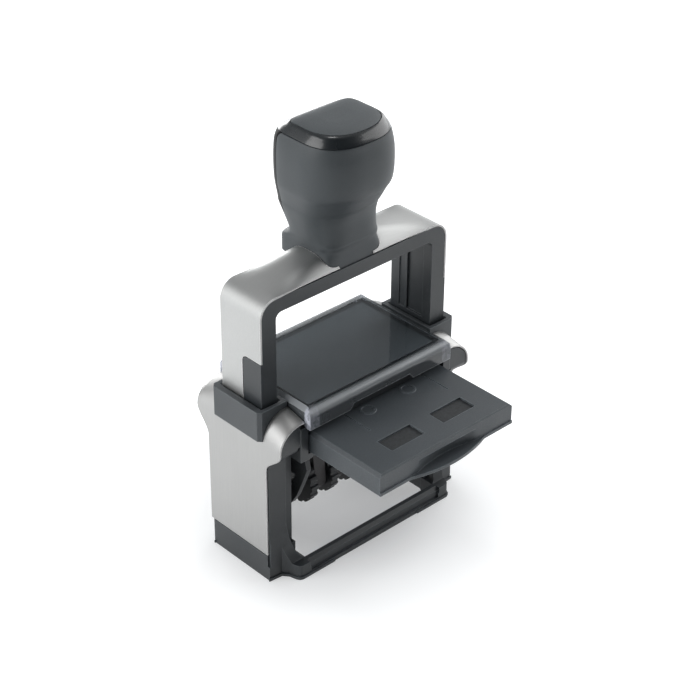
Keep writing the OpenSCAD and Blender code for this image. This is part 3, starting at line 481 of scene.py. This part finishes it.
def moulded(node, finish, width, angle, segments=2):
    """The node's own shape with its mould-rounded edges, in place of the bare solid."""
    source = nodes[node]
    work = bmesh.new()
    work.from_mesh(source.data)
    bmesh.ops.remove_doubles(work, verts=work.verts, dist=MERGE_DISTANCE)
    bmesh.ops.dissolve_limit(
        work,
        angle_limit=math.radians(FLAT_ANGLE),
        verts=work.verts,
        edges=work.edges,
        use_dissolve_boundaries=False,
    )
    for layer in (work.loops.layers.uv, work.loops.layers.color):
        for item in list(layer.values()):
            layer.remove(item)
    mesh = bpy.data.meshes.new(node + "_moulded")
    work.to_mesh(mesh)
    work.free()
    if "custom_normal" in mesh.attributes:
        mesh.attributes.remove(mesh.attributes["custom_normal"])
    one_finish(mesh, finish)
    piece = bpy.data.objects.new(node + "_moulded", mesh)
    bpy.context.scene.collection.objects.link(piece)
    mesh.polygons.foreach_set("use_smooth", [True] * len(mesh.polygons))
    bevel(piece, width, angle, segments)
    seat(piece, source["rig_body"], node)
    return piece


def mirror_points(points):
    return [(-x, y, z) for x, y, z in points]


SHEET_T, SHEET_SMOOTH = 0.7, 60
ROLL_WIDTH, ROLL_ANGLE = 0.2, 50


def sheet_piece(name, rows, skip, finish, side):
    """A bent sheet from rows of points, without the faces where skip(centre) is true."""
    columns = len(rows[0])
    points = [p for row in rows for p in row]
    faces = []
    for i in range(len(rows) - 1):
        for j in range(columns - 1):
            first = i * columns + j
            corners = [first, first + 1, first + columns + 1, first + columns]
            centre = sum((Vector(points[c]) for c in corners), Vector()) / len(corners)
            if not skip(centre):
                faces.append(corners if side > 0 else corners[::-1])
    if side < 0:
        points = mirror_points(points)
    piece = mesh_piece(name, points, faces, finish)
    work = bmesh.new()
    work.from_mesh(piece.data)
    bmesh.ops.delete(work, geom=[v for v in work.verts if not v.link_faces], context="VERTS")
    work.to_mesh(piece.data)
    work.free()
    thick = piece.modifiers.new("sheet", "SOLIDIFY")
    thick.thickness = mm(SHEET_T)
    thick.offset = -1
    thick.use_even_offset = True
    thick.material_offset_rim = 1
    # The cut rim takes the near-white finish, a painted highlight
    piece.data.materials.append(finishes["steel_cut_highlight"])
    return piece


def roll_edges(piece):
    edges = piece.modifiers.new("rolled edges", "BEVEL")
    edges.width = mm(ROLL_WIDTH)
    edges.segments = 2
    edges.limit_method = "ANGLE"
    edges.angle_limit = math.radians(ROLL_ANGLE)
    smooth(piece, SHEET_SMOOTH)


def mix(a, b, t):
    return a + (b - a) * t


def ease(t):
    """Slow at both ends of 0 to 1, and level beyond them."""
    t = min(max(t, 0.0), 1.0)
    return t * t * (3 - 2 * t)


# Steel side covers
BODY_HALF = 46.0
BEND_Z, BEND_R = 58.0, 10.0
WAIST_F, WAIST_B = 14.15, 16.95
SHOULDER_F, SHOULDER_B = 21.75, 22.75
SHOULDER_TOP, SHOULDER_CROWN = 66.4, 3.9
COVER_FOOT, FIRST_ROW = 10.8, 1.2
COVER_IN = 34.6
COLLAR_HALF, COLLAR_LOW, CLIP_GAP = 12.75, 59.4, 0.1
# Shares of the bend's height where the front edge's step begins and ends, and the back edge's begins
STEP_LOW, STEP_HIGH, BACK_LOW = 0.83, 0.985, 0.82
# Rows of points up the plain wall, then how many rows the step and the bend take
WALL_Z = [COVER_FOOT, COVER_FOOT + FIRST_ROW, 25, 38]
STEP_ROWS, BEND_ROWS = 14, 18
COLUMNS_BESIDE, COLUMNS_ACROSS = 6, 12
# A face counts as in the hole only if its centre is inside by this much
HOLE_TOLERANCE = 0.01


def front_edge(z):
    return -mix(WAIST_F, SHOULDER_F, ease((z / BEND_Z - STEP_LOW) / (STEP_HIGH - STEP_LOW)))


def back_edge(z):
    return mix(WAIST_B, SHOULDER_B, ease((z / BEND_Z - BACK_LOW) / (1 - BACK_LOW)))


def cover_top(y):
    return SHOULDER_TOP + SHOULDER_CROWN * max(0.0, 1 - (y / SHOULDER_B) ** 2)


def side_cover(name, side):
    """The wall, its bend over the shoulder, and the hole in which the collar stands."""
    hole = COLLAR_HALF + CLIP_GAP
    sill = COLLAR_LOW - CLIP_GAP
    low = (SHOULDER_F - hole) / (SHOULDER_F + SHOULDER_B)
    high = (SHOULDER_F + hole) / (SHOULDER_F + SHOULDER_B)
    columns = (
        [low * i / COLUMNS_BESIDE for i in range(COLUMNS_BESIDE)]
        + [mix(low, high, i / COLUMNS_ACROSS) for i in range(COLUMNS_ACROSS)]
        + [mix(high, 1, i / COLUMNS_BESIDE) for i in range(COLUMNS_BESIDE + 1)]
    )
    walls = WALL_Z + [mix(STEP_LOW, 1, i / STEP_ROWS) * BEND_Z for i in range(STEP_ROWS)] + [BEND_Z]
    rows = []
    for z in walls:
        rows.append([(BODY_HALF, mix(front_edge(z), back_edge(z), u), z) for u in columns])
    for i in range(BEND_ROWS + 1):
        row = []
        for u in columns:
            y = mix(-SHOULDER_F, SHOULDER_B, u)
            height = cover_top(y) - BEND_Z
            turn = mix(math.asin((sill - BEND_Z) / height), math.pi / 2, i / BEND_ROWS)
            row.append((BODY_HALF - BEND_R * (1 - math.cos(turn)), y, BEND_Z + height * math.sin(turn)))
        rows.append(row)
    rows.append([(COVER_IN, y, z) for _, y, z in rows[-1]])

    def in_hole(centre):
        return abs(centre.y) < hole - HOLE_TOLERANCE and centre.z > sill

    piece = sheet_piece(name, rows, in_hole, "steel_side", side)
    roll_edges(piece)
    return piece


# Knob sizes
CORE_TOP, KNOB_W, KNOB_D, KNOB_H = 111.3, 39.2, 35.6, 52.2
FOOT_HALF = 13.0
FOOT, FOOT_DEPTH, FOOT_SHIFT = 2 * FOOT_HALF / KNOB_W, 0.72, 0.17
# Sections from the foot to the top: shares of height, half width, half depth and shift, then
# the exponents of the front and the back
KNOB_ROWS = [
    (0, FOOT, FOOT_DEPTH, FOOT_SHIFT, 8, 9), (0.06, FOOT, FOOT_DEPTH, FOOT_SHIFT, 8, 9),
    (0.12, FOOT, FOOT_DEPTH, FOOT_SHIFT, 5, 8), (0.16, 0.68, 0.68, 0.09, 4, 4.4),
    (0.2, 0.7, 0.7, 0.11, 3.2, 3.4), (0.3, 0.76, 0.76, 0.18, 2.8, 3.2),
    (0.38, 0.82, 0.82, 0.18, 2.6, 3.4), (0.42, 0.84, 0.85, 0.14, 2.6, 3.6),
    (0.5, 0.9, 0.9, 0.07, 2.6, 3.8), (0.56, 0.94, 0.95, 0.02, 2.6, 3.8),
    (0.66, 0.95, 0.97, 0, 2.6, 4), (0.78, 0.95, 0.96, 0, 2.6, 4),
    (0.86, 0.92, 0.92, 0, 2.6, 4.4), (0.915, 0.86, 0.87, -0.03, 2.6, 5),
    (0.955, 0.79, 0.74, -0.08, 2.6, 6), (0.98, 0.72, 0.63, -0.11, 2.6, 8),
    (0.994, 0.55, 0.47, -0.08, 2.5, 6), (1, 0.3, 0.26, -0.05, 2.4, 4),
]
KNOB_SECTORS, KNOB_STEPS, KNOB_SMOOTH = 112, 4, 40
CAP_Z = CORE_TOP + 0.915 * KNOB_H
PANEL_Z = CORE_TOP + 0.3 * KNOB_H
PANEL_Y = 0.6 * KNOB_D / 2
INLAY_Z = CORE_TOP + 0.955 * KNOB_H
INLAY_HALF, INLAY_FRONT, INLAY_BACK = 0.71 * KNOB_W / 2, 0.74 * KNOB_D / 2, 0.52 * KNOB_D / 2
# Exponents of the inlay's front and back
INLAY_ROUND, INLAY_SQUARE, INLAY_POINTS = 2.5, 8, 80


def power(value, exponent):
    return math.copysign(abs(value) ** exponent, value)


def rounded_outline(wide, deep, shift, front, back, count):
    """A closed outline, square to round by its exponents at the front and at the back."""
    outline = []
    for i in range(count):
        turn = 2 * math.pi * i / count
        exponent = 2 / (front if math.sin(turn) < 0 else back)
        x = wide * power(math.cos(turn), exponent)
        y = deep * power(math.sin(turn), exponent) + shift
        outline.append((x, y))
    return outline


def prism(name, outline, low, high, axis="Z"):
    """A straight block over an outline, used to cut other pieces."""
    count = len(outline)
    place = {
        "X": lambda a, b, c: (c, a, b), "Y": lambda a, b, c: (a, c, b), "Z": lambda a, b, c: (a, b, c)
    }[axis]
    points = [place(a, b, c) for c in (low, high) for a, b in outline]
    faces = [tuple(range(count))[::-1], tuple(range(count, 2 * count))]
    faces += [(i, (i + 1) % count, (i + 1) % count + count, i + count) for i in range(count)]
    block = mesh_piece(name, points, faces, "gloss")
    work = bmesh.new()
    work.from_mesh(block.data)
    bmesh.ops.recalc_face_normals(work, faces=work.faces)
    work.to_mesh(block.data)
    work.free()
    return block


def cut(piece, cutter, operation):
    change = piece.modifiers.new("cut", "BOOLEAN")
    change.object = cutter
    change.operation = operation
    change.solver = "EXACT"
    bpy.context.view_layer.update()
    graph = bpy.context.evaluated_depsgraph_get()
    mesh = bpy.data.meshes.new_from_object(piece.evaluated_get(graph))
    piece.modifiers.clear()
    piece.data = mesh


def corner(centre_a, centre_b, radius, start, end, steps=6):
    """Points of an arc round a centre, from one angle to another in degrees."""
    turns = [math.radians(mix(start, end, i / steps)) for i in range(steps + 1)]
    return [(centre_a + radius * math.cos(t), centre_b + radius * math.sin(t)) for t in turns]


# Steel covers of the bridge
LEG_OUT, LEG_HALF, LEG_BOTTOM = 44.0, 10.35, 36.25
BRIDGE_R, STEEL_TOP = 6.7, 112.0
CROWN_H, CROWN_START, CROWN_FULL = 5.0, 0.87 * LEG_OUT, 0.3 * LEG_OUT
COVER_END = 8.0
CROWN_EASE, CROWN_POWER = 0.3, 3
NOTCH_Y, NOTCH_Z, NOTCH_R = -0.7, 88.55, 2.3
LEG_Z = (LEG_BOTTOM, 50, 65, 80, 95)
ARCH_COLUMNS, ARCH_BEND_ROWS, ARCH_TOP_ROWS = 28, 12, 26
OVERRUN = 1
FOOT_CUT_BELOW, FOOT_CUT_ABOVE, FOOT_POINTS = 5, 20, 96


def crown(x, y):
    """How far the arch swells above its straight top, fullest beside the knob."""
    rise = min(max((CROWN_START - x) / (CROWN_START - CROWN_FULL), 0.0), 1.0)
    return CROWN_H * mix(rise, ease(rise), CROWN_EASE) * (1 - abs(y / LEG_HALF) ** CROWN_POWER)


def bridge_cover(name, side):
    """Half of the arch's steel, up the leg and along the top, with room for insert and knob."""
    across = [LEG_HALF * math.sin(math.pi * (i / ARCH_COLUMNS - 0.5)) for i in range(ARCH_COLUMNS + 1)]
    bend_x, bend_z = LEG_OUT - BRIDGE_R, STEEL_TOP - BRIDGE_R
    path = [(LEG_OUT, z) for z in LEG_Z]
    for i in range(ARCH_BEND_ROWS + 1):
        turn = math.radians(90 * i / ARCH_BEND_ROWS)
        path.append((bend_x + BRIDGE_R * math.cos(turn), bend_z + BRIDGE_R * math.sin(turn)))
    for i in range(1, ARCH_TOP_ROWS + 1):
        path.append((mix(bend_x, COVER_END, i / ARCH_TOP_ROWS), STEEL_TOP))
    rows = [[(x, y, z + crown(x, y)) for y in across] for x, z in path]
    piece = sheet_piece(name, rows, lambda p: False, "steel_arch", side)
    edge, low = -LEG_HALF - OVERRUN, LEG_BOTTOM - OVERRUN
    notch = [(edge, low), (NOTCH_Y, low)]
    notch += corner(NOTCH_Y - NOTCH_R, NOTCH_Z - NOTCH_R, NOTCH_R, 0, 90) + [(edge, NOTCH_Z)]
    ends = sorted((side * (LEG_OUT - 2 * OVERRUN), side * (LEG_OUT + OVERRUN)))
    insert = prism("insert_space", notch, *ends, "X")
    cut(piece, insert, "DIFFERENCE")
    deep, shift = FOOT_DEPTH * KNOB_D / 2, FOOT_SHIFT * KNOB_D / 2
    powers = KNOB_ROWS[0][4:]
    plan = rounded_outline(FOOT_HALF + CLIP_GAP, deep + CLIP_GAP, shift, *powers, FOOT_POINTS)
    foot = prism("foot_space", plan, CORE_TOP - FOOT_CUT_BELOW, CORE_TOP + FOOT_CUT_ABOVE)
    cut(piece, foot, "DIFFERENCE")
    bpy.data.objects.remove(insert)
    bpy.data.objects.remove(foot)
    roll_edges(piece)
    return piece


for side, label in ((-1, "left"), (1, "right")):
    cover = side_cover(label + "_steel_side", side)
    seat(cover, "housing", label + "_side_cover", slot="brushed_steel")
    cover = bridge_cover(label + "_steel_arch", side)
    seat(cover, "handle", label + "_bridge_cover", slot="brushed_steel")

# Knob


def spline(rows, t):
    """A smooth curve through the rows, a whole row for each step of t."""
    i = min(int(t), len(rows) - 2)
    f = t - i
    before, after = rows[max(i - 1, 0)], rows[min(i + 2, len(rows) - 1)]
    values = []
    for a, b, c, d in zip(before, rows[i], rows[i + 1], after):
        square, cube = 2 * a - 5 * b + 4 * c - d, 3 * b - a - 3 * c + d
        values.append(0.5 * (2 * b + (c - a) * f + square * f * f + cube * f ** 3))
    return values


def knob_skin(name, finish):
    """The whole knob as one closed skin, from which each of its pieces is cut."""
    points, faces = [], []
    sectors = KNOB_SECTORS
    count = (len(KNOB_ROWS) - 1) * KNOB_STEPS + 1
    for k in range(count):
        height, wide, deep, shift, front, back = spline(KNOB_ROWS, k / KNOB_STEPS)
        halves = wide * KNOB_W / 2, deep * KNOB_D / 2, shift * KNOB_D / 2
        outline = rounded_outline(*halves, front, back, sectors)
        points += [(x, y, CORE_TOP + height * KNOB_H) for x, y in outline]
    for k in range(count - 1):
        for i in range(sectors):
            a, b = k * sectors + i, k * sectors + (i + 1) % sectors
            faces.append((a, b, b + sectors, a + sectors))
    faces.append(tuple(range(sectors))[::-1])
    faces.append(tuple((count - 1) * sectors + i for i in range(sectors)))
    return mesh_piece(name, points, faces, finish)


def cap_cutter(grow):
    """The space of the gloss cap: the top slice, and the panel down the knob's back."""
    far, round_r = 40, 2.2
    top, low, back = CAP_Z - grow, PANEL_Z - grow, PANEL_Y - grow
    outline = [(-far, top)] + corner(back - round_r, top - round_r, round_r, 90, 0)
    outline += corner(back + round_r, low + round_r, round_r, 180, 270)
    outline += [(far, low), (far, CORE_TOP + 2 * far), (-far, CORE_TOP + 2 * far)]
    return prism("cap_space", outline, -far, far, "X")


def inlay_cutter(grow):
    """The space of the inlay, down through the cap's top."""
    outline = []
    for x, y in rounded_outline(1, 1, 0, INLAY_ROUND, INLAY_SQUARE, INLAY_POINTS):
        deep = INLAY_FRONT if y < 0 else INLAY_BACK
        outline.append((x * (INLAY_HALF + grow), y * (deep + grow)))
    return prism("inlay_space", outline, INLAY_Z - grow, INLAY_Z + KNOB_H)


BUTTON_TRAVEL, BUTTON_GAP, BUTTON_POINTS = 2.0, 0.2, 32


def button_bore():
    """The lock button's hole in the grip, deep enough for its travel."""
    low, high = (point * MM_PER_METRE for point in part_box("lock_button"))
    middle_x, middle_z, radius = (low.x + high.x) / 2, (low.z + high.z) / 2, (high.x - low.x) / 2
    last = BUTTON_POINTS - 1
    outline = corner(middle_x, middle_z, radius + BUTTON_GAP, 0, 360 * last / BUTTON_POINTS, last)
    return prism("button_bore", outline, low.y - BUTTON_TRAVEL - BUTTON_GAP, high.y + BUTTON_TRAVEL, "Y")


def mark_panel(cap):
    """What hangs below the cap's top slice is the back panel."""
    cap.data.materials.append(finishes["panel"])
    for face in cap.data.polygons:
        face.material_index = int(face.center.z < mm(CAP_Z))


def build_knob():
    gap = 0.25
    grip = knob_skin("soft_grip", "grip")
    space = cap_cutter(gap)
    cut(grip, space, "DIFFERENCE")
    bore = button_bore()
    cut(grip, bore, "DIFFERENCE")
    cap = knob_skin("gloss_cap", "gloss")
    tight = cap_cutter(0)
    cut(cap, tight, "INTERSECT")
    hollow = inlay_cutter(gap)
    cut(cap, hollow, "DIFFERENCE")
    inlay = knob_skin("top_inlay", "inlay")
    fill = inlay_cutter(0)
    cut(inlay, fill, "INTERSECT")
    for cutter in (space, bore, tight, hollow, fill):
        bpy.data.objects.remove(cutter)
    for piece, finish, node, slot, width in (
        (grip, "grip", "knob_grip", "grip_rubber", 0.35),
        (cap, "gloss", "knob_cap", "gloss_black", 0.3),
        (inlay, "inlay", "knob_inlay", "inlay_grey", 0.25),
    ):
        one_finish(piece.data, finish)
        if piece is cap:
            mark_panel(cap)
        smooth(piece, KNOB_SMOOTH)
        bevel(piece, width, KNOB_SMOOTH)
        seat(piece, "handle", node, slot=slot)


build_knob()

# Moulded and turned pieces that keep the solid's own shape: the width of their rounded edges,
# and the least angle at which an edge is rounded
MOULDED = [
    ("base_frame", "frame_black", 0.35, 30), ("pad_housing", "frame_black", 0.3, 30),
    ("left_collar", "graphite", 0.4, 30), ("right_collar", "graphite", 0.4, 30),
    ("window_cover", "clear", 0.35, 20), ("index_card", "card", 0.1, 30),
    ("pad_cassette", "cassette", 0.3, 30), ("bridge_frame", "frame_black", 0.45, 35),
    ("knob_stem", "frame_black", 0.3, 40), ("knob_screws", "pins", 0.15, 40),
    ("lock_button", "gloss", 0.4, 40), ("carrier_frame", "carrier", 0.25, 30),
    ("text_plate", "carrier", 0.15, 30), ("text_rubber", "die", 0.12, 30),
    ("band_bar", "carrier", 0.15, 40), ("wheel_axle", "pins", 0.15, 40),
    ("left_pivot_pin", "pins", 0.2, 40), ("right_pivot_pin", "pins", 0.2, 40),
]
for name, finish, width, angle in MOULDED:
    moulded(name, finish, width, angle)

WELL_DEPTH, WELL_TOLERANCE, FACING_UP = mm(0.9), mm(0.1), 0.99


def paint_well_shade(piece):
    """The sunk floors of the roof's two wells take a darker, rougher finish; the darkness is painted
    shade of the recess.
    """
    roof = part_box("pad_cassette")[1].z
    piece.data.materials.append(finishes["well"])
    for face in piece.data.polygons:
        if face.normal.z > FACING_UP and abs(roof - face.center.z - WELL_DEPTH) < WELL_TOLERANCE:
            face.material_index = 1


paint_well_shade(bpy.data.objects["pad_cassette_moulded"])
WHEELS = 4
for i in range(1, WHEELS + 1):
    moulded(f"setting_wheel_{i}", "wheel", 0.2, 40)
    moulded(f"date_band_{i}", "band", 0.12, 40)


def build_spring(label):
    piece = moulded(label + "_return_spring", "pins", 0.05, 80, 1)
    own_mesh(piece)


for label in ("left", "right"):
    build_spring(label)
    rod = nodes[label + "_spring_rod"].data
    rod.materials.clear()
    rod.materials.append(finishes["pins"])

# Felt of the ink cassette
FELT_SAG, FELT_COLUMNS, FELT_ROWS, FELT_SMOOTH = 0.25, 24, 16, 50
# The soft rim takes one part in this many of the felt, at each side
FELT_RIM_PARTS = 8


def build_felt():
    """A flat top under the cassette's roof, and an underside that thins out to a soft rim."""
    low, high = (point * MM_PER_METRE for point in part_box("felt_pad"))
    wide, deep = FELT_COLUMNS, FELT_ROWS
    points, faces = [], []
    for top in (True, False):
        for i in range(wide + 1):
            for j in range(deep + 1):
                u, v = i / wide, j / deep
                edge = min(1.0, FELT_RIM_PARTS * min(u, 1 - u), FELT_RIM_PARTS * min(v, 1 - v))
                z = high.z if top else low.z + FELT_SAG * (1 - edge ** 0.5)
                points.append((mix(low.x, high.x, u), mix(low.y, high.y, v), z))
    half = (wide + 1) * (deep + 1)
    for i in range(wide):
        for j in range(deep):
            a, b = i * (deep + 1) + j, (i + 1) * (deep + 1) + j
            faces.append((a, b, b + 1, a + 1))
            faces.append((a + half, a + half + 1, b + half + 1, b + half))
    rim = [i * (deep + 1) for i in range(wide + 1)]
    rim += [wide * (deep + 1) + j for j in range(1, deep + 1)]
    rim += [i * (deep + 1) + deep for i in range(wide - 1, -1, -1)]
    rim += [j for j in range(deep - 1, 0, -1)]
    for a, b in zip(rim, rim[1:] + rim[:1]):
        faces.append((b, a, a + half, b + half))
    piece = mesh_piece("felt", points, faces, "felt")
    smooth(piece, FELT_SMOOTH)
    seat(piece, "cassette", "felt_pad", slot="felt")


build_felt()

# Floor, light and world, in metres
FLOOR_HALF = 20.0
FLOOR_COLOR = (0.66, 0.675, 0.685, 1)
# How strongly the floor glows near the stamp's middle and further out: the weaker glow near the stamp is
# painted shade round it
SWEEP_START, SWEEP_END = 0.02, 0.09
GLOW_NEAR, GLOW_FAR = 0.24, 0.8


def build_stage():
    mesh = bpy.data.meshes.new("floor")
    h = FLOOR_HALF
    mesh.from_pydata([(-h, -h, 0), (h, -h, 0), (h, h, 0), (-h, h, 0)], [], [(0, 1, 2, 3)])
    floor = bpy.data.objects.new("floor", mesh)
    bpy.context.scene.collection.objects.link(floor)
    material = bpy.data.materials.new("pale floor")
    material.use_nodes = True
    material.node_tree.nodes.clear()
    build = Nodes(material.node_tree)
    matt = build.add("ShaderNodeBsdfDiffuse", {"Color": FLOOR_COLOR})
    path = build.add("ShaderNodeLightPath")
    seen = build.math("MAXIMUM", path.outputs["Is Camera Ray"], path.outputs["Is Glossy Ray"])
    seen = build.math("MAXIMUM", seen, path.outputs["Is Transmission Ray"])
    far = build.vector_math("LENGTH", build.place()).outputs["Value"]
    # Painted shade: the glow fades towards the stamp, so the floor darkens round it
    sweep = build.remap(far, SWEEP_START, SWEEP_END, GLOW_NEAR, GLOW_FAR)
    strength = build.math("MULTIPLY", seen, sweep)
    glow = build.add("ShaderNodeEmission", {"Color": (1, 1, 1, 1), "Strength": strength})
    both = build.add("ShaderNodeAddShader")
    build.feed(both.inputs[0], matt.outputs[0])
    build.feed(both.inputs[1], glow.outputs[0])
    build.add("ShaderNodeOutputMaterial", {"Surface": both.outputs[0]})
    mesh.materials.append(material)


LIGHT_AIM = Vector((0, 0, 0.07))
# Name, place, size and watts
LIGHTS = [
    ("left_softbox", (-1.04, 0.32, 0.56), (0.87, 0.9), 8.2),
    ("right_softbox", (1.09, -0.13, 0.56), (1.8, 0.9), 12.0),
    ("back_softbox", (0.21, 1.17, 0.26), (0.87, 0.36), 6.4),
    ("top_softbox", (0.11, 0.16, 1.37), (0.25, 0.25), 1.5),
]


def soft_light(name, place, size, watts):
    data = bpy.data.lights.new(name, "AREA")
    data.shape = "RECTANGLE"
    data.size, data.size_y = size
    data.energy = watts
    light = bpy.data.objects.new(name, data)
    bpy.context.scene.collection.objects.link(light)
    light.location = place
    light.visible_camera = False
    light.rotation_euler = (LIGHT_AIM - Vector(place)).to_track_quat("-Z", "Y").to_euler()


LOW_SKY, HIGH_SKY, DARK_SKY = (0.44, 0.45, 0.46, 1), (0.34, 0.345, 0.35, 1), (0.05, 0.052, 0.055, 1)
# The studio is dark on this side of the stamp
DARK_SIDE = (-0.4, -0.9, 0.15)


def build_world():
    world = bpy.data.worlds.new("studio")
    bpy.context.scene.world = world
    world.use_nodes = True
    world.node_tree.nodes.clear()
    build = Nodes(world.node_tree)
    place = build.add("ShaderNodeTexCoord").outputs["Generated"]
    fade = build.remap(build.axis(place, "Z"), 0.1, 0.6, 0.0, 1.0)
    sky = build.mix_color(fade, LOW_SKY, HIGH_SKY)
    toward_dark = build.vector_math("DOT_PRODUCT", place, DARK_SIDE).outputs["Value"]
    shade = build.remap(toward_dark, 0.1, 0.7, 0.0, 1.0)
    color = build.mix_color(shade, sky, DARK_SKY)
    back = build.add("ShaderNodeBackground", {"Color": color, "Strength": 1.0})
    build.add("ShaderNodeOutputWorld", {"Surface": back.outputs[0]})


make_camera()
build_stage()
build_world()
for light in LIGHTS:
    soft_light(*light)
bpy.context.scene.view_settings.view_transform = "Standard"
